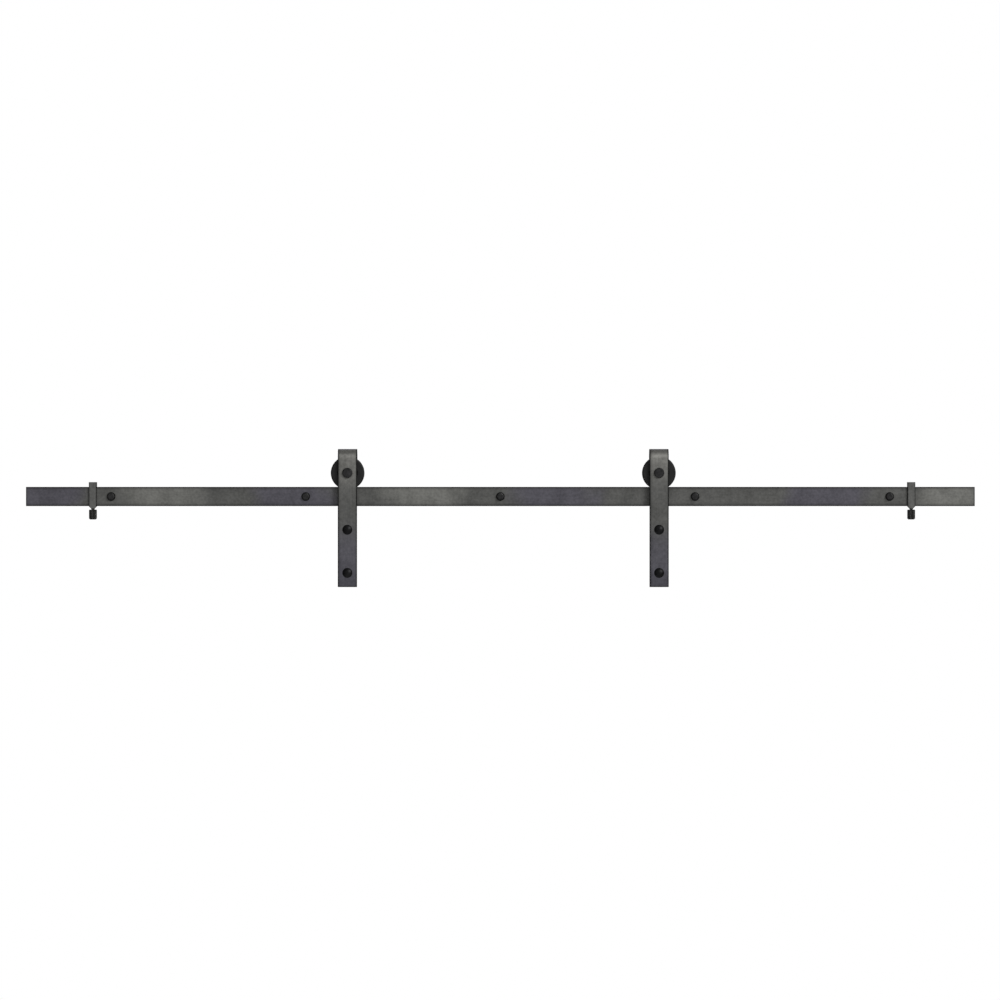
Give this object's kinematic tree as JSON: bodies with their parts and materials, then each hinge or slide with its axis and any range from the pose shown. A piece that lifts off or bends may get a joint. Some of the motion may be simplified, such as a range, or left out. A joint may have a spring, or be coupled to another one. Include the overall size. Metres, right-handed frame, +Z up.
{
  "type": "sliding barn door hardware",
  "caption": "Flat wall-mounted rail with two bent strap hangers on grooved wheels and clamp-on end stops, for hanging a sliding door",
  "frame": {"origin": "on the wall's face, on the axis of the middle wall bolt, at the rail's mid height", "axes": "+X along the rail to the right as seen from the room, +Y into the wall, +Z up"},
  "size_m": [1.9812, 0.11, 0.288],
  "materials": {
    "rail_steel": "raw flat bar under clear coat",
    "strap_steel": "raw flat bar under clear coat",
    "stop_steel": "milled raw steel under clear coat",
    "spacer_steel": "raw tube under clear coat",
    "turned_steel": "bright turned",
    "bearing_steel": "ground and polished",
    "brass": "turned",
    "black_oxide": "black oxide, satin",
    "knurled_black": "black oxide over a diamond knurl",
    "black_nylon": "turned black nylon"
  },
  "bodies": {
    "track": {"track_rail": "rail_steel", "lag_bolts": "black_oxide", "lag_washers": "black_oxide", "rail_spacer_1": "spacer_steel", "rail_spacer_2": "spacer_steel", "rail_spacer_3": "spacer_steel", "rail_spacer_4": "spacer_steel", "rail_spacer_5": "spacer_steel"},
    "hanger_left": {"strap_left": "strap_steel", "axle_bolt_left": "black_oxide", "front_bush_left": "turned_steel", "rear_bush_left": "turned_steel", "axle_washer_left": "black_oxide", "axle_nut_left": "black_oxide", "bearing_inner_race_left": "bearing_steel", "door_bolts_left": "black_oxide", "door_washers_left": "black_oxide", "door_nuts_left": "black_oxide"},
    "wheel_left": {"wheel_left": "black_nylon", "bearing_outer_race_left": "bearing_steel", "bearing_shields_left": "turned_steel"},
    "cage_left": {"bearing_cage_left": "bearing_steel", "bearing_balls_left": "bearing_steel"},
    "hanger_right": {"strap_right": "strap_steel", "axle_bolt_right": "black_oxide", "front_bush_right": "turned_steel", "rear_bush_right": "turned_steel", "axle_washer_right": "black_oxide", "axle_nut_right": "black_oxide", "bearing_inner_race_right": "bearing_steel", "door_bolts_right": "black_oxide", "door_washers_right": "black_oxide", "door_nuts_right": "black_oxide"},
    "wheel_right": {"wheel_right": "black_nylon", "bearing_outer_race_right": "bearing_steel", "bearing_shields_right": "turned_steel"},
    "cage_right": {"bearing_cage_right": "bearing_steel", "bearing_balls_right": "bearing_steel"},
    "stop_left": {"stop_body_left": "stop_steel"},
    "pad_left": {"pressure_pad_left": "brass"},
    "screw_left": {"thumb_screw_left": "turned_steel", "screw_knob_left": "knurled_black"},
    "stop_right": {"stop_body_right": "stop_steel"},
    "pad_right": {"pressure_pad_right": "brass"},
    "screw_right": {"thumb_screw_right": "turned_steel", "screw_knob_right": "knurled_black"}
  },
  "joints": [
    {"name": "hanger_left_travel", "type": "slide", "parent": "track", "child": "hanger_left", "axis": [1, 0, 0], "range_m": [-0.494, 0.489]},
    {"name": "wheel_left_spin", "type": "hinge", "parent": "hanger_left", "child": "wheel_left", "pos_m": [-0.319, -0.035, 0.0492], "axis": [0, 1, 0], "continuous": true},
    {"name": "cage_left_spin", "type": "hinge", "parent": "hanger_left", "child": "cage_left", "pos_m": [-0.319, -0.035, 0.0492], "axis": [0, 1, 0], "continuous": true},
    {"name": "hanger_right_travel", "type": "slide", "parent": "track", "child": "hanger_right", "axis": [1, 0, 0], "range_m": [-0.494, 0.489]},
    {"name": "wheel_right_spin", "type": "hinge", "parent": "hanger_right", "child": "wheel_right", "pos_m": [0.331, -0.035, 0.0492], "axis": [0, 1, 0], "continuous": true},
    {"name": "cage_right_spin", "type": "hinge", "parent": "hanger_right", "child": "cage_right", "pos_m": [0.331, -0.035, 0.0492], "axis": [0, 1, 0], "continuous": true},
    {"name": "stop_left_travel", "type": "slide", "parent": "track", "child": "stop_left", "axis": [1, 0, 0], "range_m": [-0.131, 0]},
    {"name": "pad_left_advance", "type": "slide", "parent": "stop_left", "child": "pad_left", "axis": [0, 0, 1], "range_m": [-0.0024, 0]},
    {"name": "screw_left_turn", "type": "hinge", "parent": "pad_left", "child": "screw_left", "pos_m": [-0.851, -0.035, -0.03], "axis": [0, 0, 1], "range_deg": [-1080, 0]},
    {"name": "stop_right_travel", "type": "slide", "parent": "track", "child": "stop_right", "axis": [1, 0, 0], "range_m": [0, 0.124]},
    {"name": "pad_right_advance", "type": "slide", "parent": "stop_right", "child": "pad_right", "axis": [0, 0, 1], "range_m": [-0.0024, 0]},
    {"name": "screw_right_turn", "type": "hinge", "parent": "pad_right", "child": "screw_right", "pos_m": [0.858, -0.035, -0.03], "axis": [0, 0, 1], "range_deg": [-1080, 0]}
  ],
  "couplings": [
    {"joint": "hanger_right_travel", "follows": "hanger_left_travel", "ratio": 1},
    {"joint": "wheel_left_spin", "follows": "hanger_left_travel", "rad_per_m": 34.483},
    {"joint": "cage_left_spin", "follows": "hanger_left_travel", "rad_per_m": 21.801},
    {"joint": "wheel_right_spin", "follows": "hanger_left_travel", "rad_per_m": 34.483},
    {"joint": "cage_right_spin", "follows": "hanger_left_travel", "rad_per_m": 21.801},
    {"joint": "screw_left_turn", "follows": "pad_left_advance", "rad_per_m": 7854},
    {"joint": "screw_right_turn", "follows": "pad_right_advance", "rad_per_m": 7854}
  ]
}
